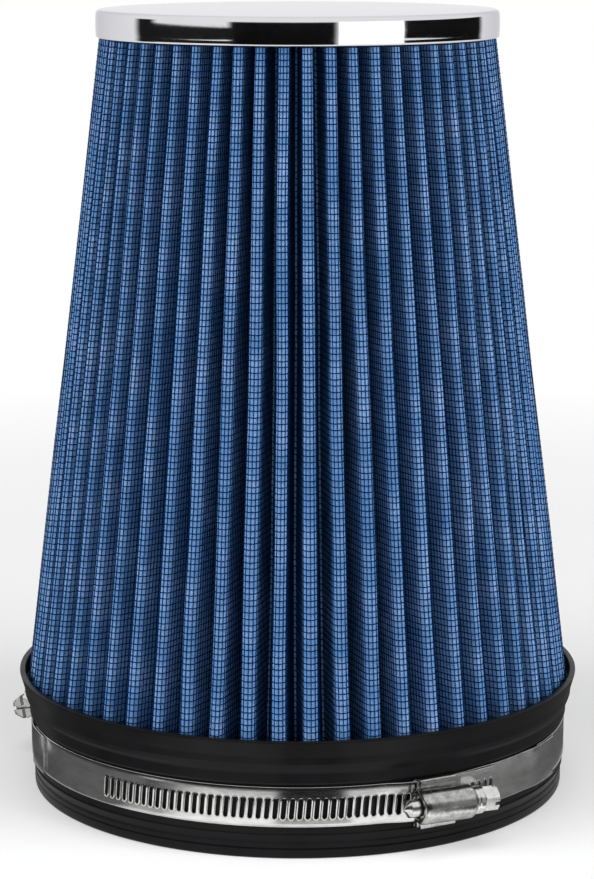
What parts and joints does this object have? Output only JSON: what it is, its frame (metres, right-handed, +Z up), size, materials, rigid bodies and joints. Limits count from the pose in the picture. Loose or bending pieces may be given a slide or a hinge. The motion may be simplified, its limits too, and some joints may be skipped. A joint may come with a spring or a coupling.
{
  "type": "cone air filter",
  "caption": "Tapered pleated intake filter with wire screens, pressed metal top cap, moulded rubber neck and a two-screw worm-drive band clamp.",
  "frame": {"origin": "centre of the neck socket at the foot of the rubber base", "axes": "+Z up the filter's axis towards the closed cap, -Y towards the side with the front clamp housing, +X to its right"},
  "size_m": [0.1772, 0.1722, 0.237],
  "materials": {
    "cap_chrome": "polished chrome plating",
    "potting": "matt poured urethane",
    "screen": "black epoxy-coated wire",
    "cloth": "oiled blue cotton gauze",
    "rubber": "satin moulded rubber",
    "band_steel": "stainless strip, lightly brushed",
    "plated_steel": "pressed and plated steel",
    "screw_steel": "bright nickel-plated steel"
  },
  "bodies": {
    "root": {"top_cap": "cap_chrome", "top_potting": "potting", "outer_screen": "screen", "filter_media": "cloth", "inner_screen": "screen", "rubber_base": "rubber", "band_front": "band_steel", "band_rear": "band_steel", "strap_front": "band_steel", "strap_rear": "band_steel", "saddle_front": "plated_steel", "saddle_rear": "plated_steel", "housing_front": "plated_steel", "housing_rear": "plated_steel"},
    "front_screw": {"screw_front": "screw_steel"},
    "rear_screw": {"screw_rear": "screw_steel"}
  },
  "joints": [
    {"name": "front_screw_turn", "type": "hinge", "parent": "root", "child": "front_screw", "pos_m": [0.04197, -0.07729, 0.0149], "axis": [0.8783, 0.4769, -0.0349], "continuous": true},
    {"name": "rear_screw_turn", "type": "hinge", "parent": "root", "child": "rear_screw", "pos_m": [-0.08126, 0.03366, 0.0149], "axis": [-0.3825, -0.9233, 0.0349], "continuous": true}
  ]
}
